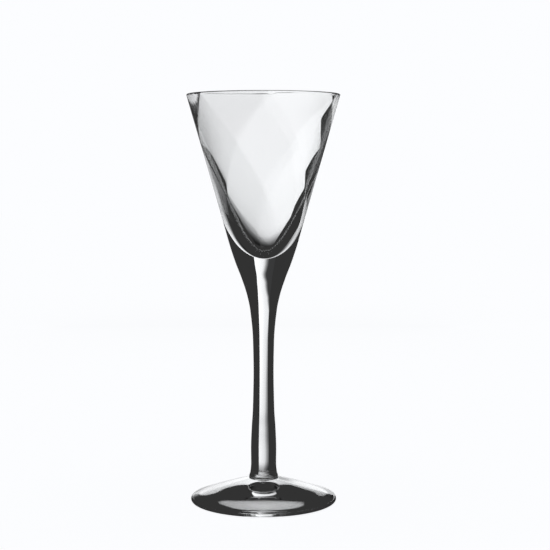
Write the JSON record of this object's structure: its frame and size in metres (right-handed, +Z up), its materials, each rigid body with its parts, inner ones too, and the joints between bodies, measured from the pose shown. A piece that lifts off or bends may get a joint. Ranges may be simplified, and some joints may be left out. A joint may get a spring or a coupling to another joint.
{
  "type": "cordial glass",
  "caption": "Small clear stem glass for cordials: a straight cone bowl with a diamond optic inside, a slim drawn stem and a round foot that is hollow underneath and rests on a ring.",
  "frame": {"origin": "middle of the resting ring under the foot, on the table plane", "axes": "+Z up along the axis of the glass, towards the rim; -Y towards the viewer of the picture"},
  "size_m": [0.0616, 0.0616, 0.165],
  "materials": {
    "crystal": "clear, colourless, fire-polished"
  },
  "bodies": {
    "root": {"bowl": "crystal", "stem": "crystal", "foot": "crystal"}
  },
  "joints": []
}
